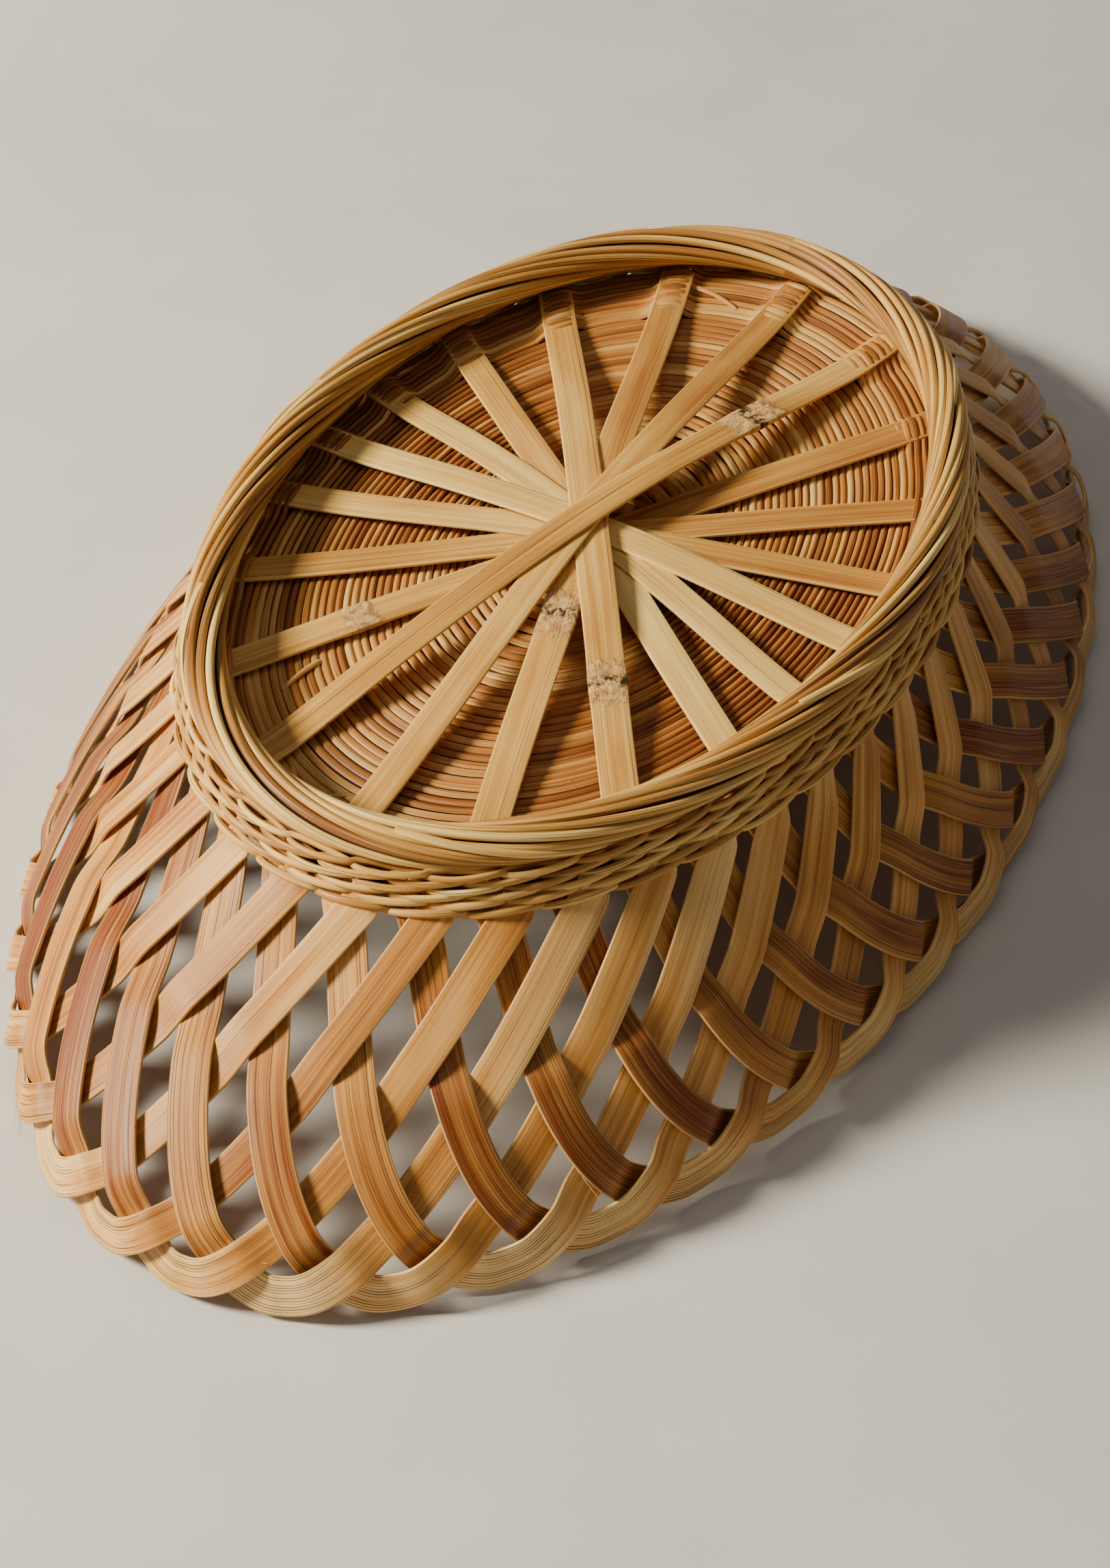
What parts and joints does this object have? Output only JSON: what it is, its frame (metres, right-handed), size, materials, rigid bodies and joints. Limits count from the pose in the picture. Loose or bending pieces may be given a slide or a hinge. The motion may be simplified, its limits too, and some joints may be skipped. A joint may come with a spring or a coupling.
{
  "type": "woven wicker basket",
  "caption": "Shallow oval openwork bamboo basket with looped strip walls, a fine woven base crossed by flat radial strips, and a rolled cane foot ring.",
  "frame": {"origin": "centre of the basket's footprint, level with the lowest points of the mouth loops; the basket lies mouth down, as it was seen", "axes": "+X along the long axis of the oval, +Y across it, +Z from the mouth up to the foot ring; the basket stands on its foot when turned over"},
  "size_m": [0.4024, 0.2288, 0.076],
  "materials": {
    "wall_strip": "satin",
    "base_strip": "satin",
    "weave": "matt",
    "border_cane": "satin",
    "twining_cane": "satin"
  },
  "bodies": {
    "root": {"wall_loop_01": "wall_strip", "wall_loop_02": "wall_strip", "wall_loop_03": "wall_strip", "wall_loop_04": "wall_strip", "wall_loop_05": "wall_strip", "wall_loop_06": "wall_strip", "wall_loop_07": "wall_strip", "wall_loop_08": "wall_strip", "wall_loop_09": "wall_strip", "wall_loop_10": "wall_strip", "wall_loop_11": "wall_strip", "wall_loop_12": "wall_strip", "wall_loop_13": "wall_strip", "wall_loop_14": "wall_strip", "wall_loop_15": "wall_strip", "wall_loop_16": "wall_strip", "wall_loop_17": "wall_strip", "wall_loop_18": "wall_strip", "wall_loop_19": "wall_strip", "wall_loop_20": "wall_strip", "wall_loop_21": "wall_strip", "wall_loop_22": "wall_strip", "wall_loop_23": "wall_strip", "wall_loop_24": "wall_strip", "wall_loop_25": "wall_strip", "wall_loop_26": "wall_strip", "wall_loop_27": "wall_strip", "wall_loop_28": "wall_strip", "wall_loop_29": "wall_strip", "wall_loop_30": "wall_strip", "wall_loop_31": "wall_strip", "wall_loop_32": "wall_strip", "wall_loop_33": "wall_strip", "wall_loop_34": "wall_strip", "wall_loop_35": "wall_strip", "wall_loop_36": "wall_strip", "wall_loop_37": "wall_strip", "wall_loop_38": "wall_strip", "wall_loop_39": "wall_strip", "wall_loop_40": "wall_strip", "base_spoke_01": "base_strip", "base_spoke_02": "base_strip", "base_spoke_03": "base_strip", "base_spoke_04": "base_strip", "base_spoke_05": "base_strip", "base_spoke_06": "base_strip", "base_spoke_07": "base_strip", "base_spoke_08": "base_strip", "base_spoke_09": "base_strip", "base_spoke_10": "base_strip", "base_weave": "weave", "base_edge_rows": "weave", "foot_border_1": "border_cane", "foot_border_2": "border_cane", "foot_border_3": "border_cane", "foot_twining_1": "twining_cane", "foot_twining_2": "twining_cane", "foot_twining_3": "twining_cane"}
  },
  "joints": []
}
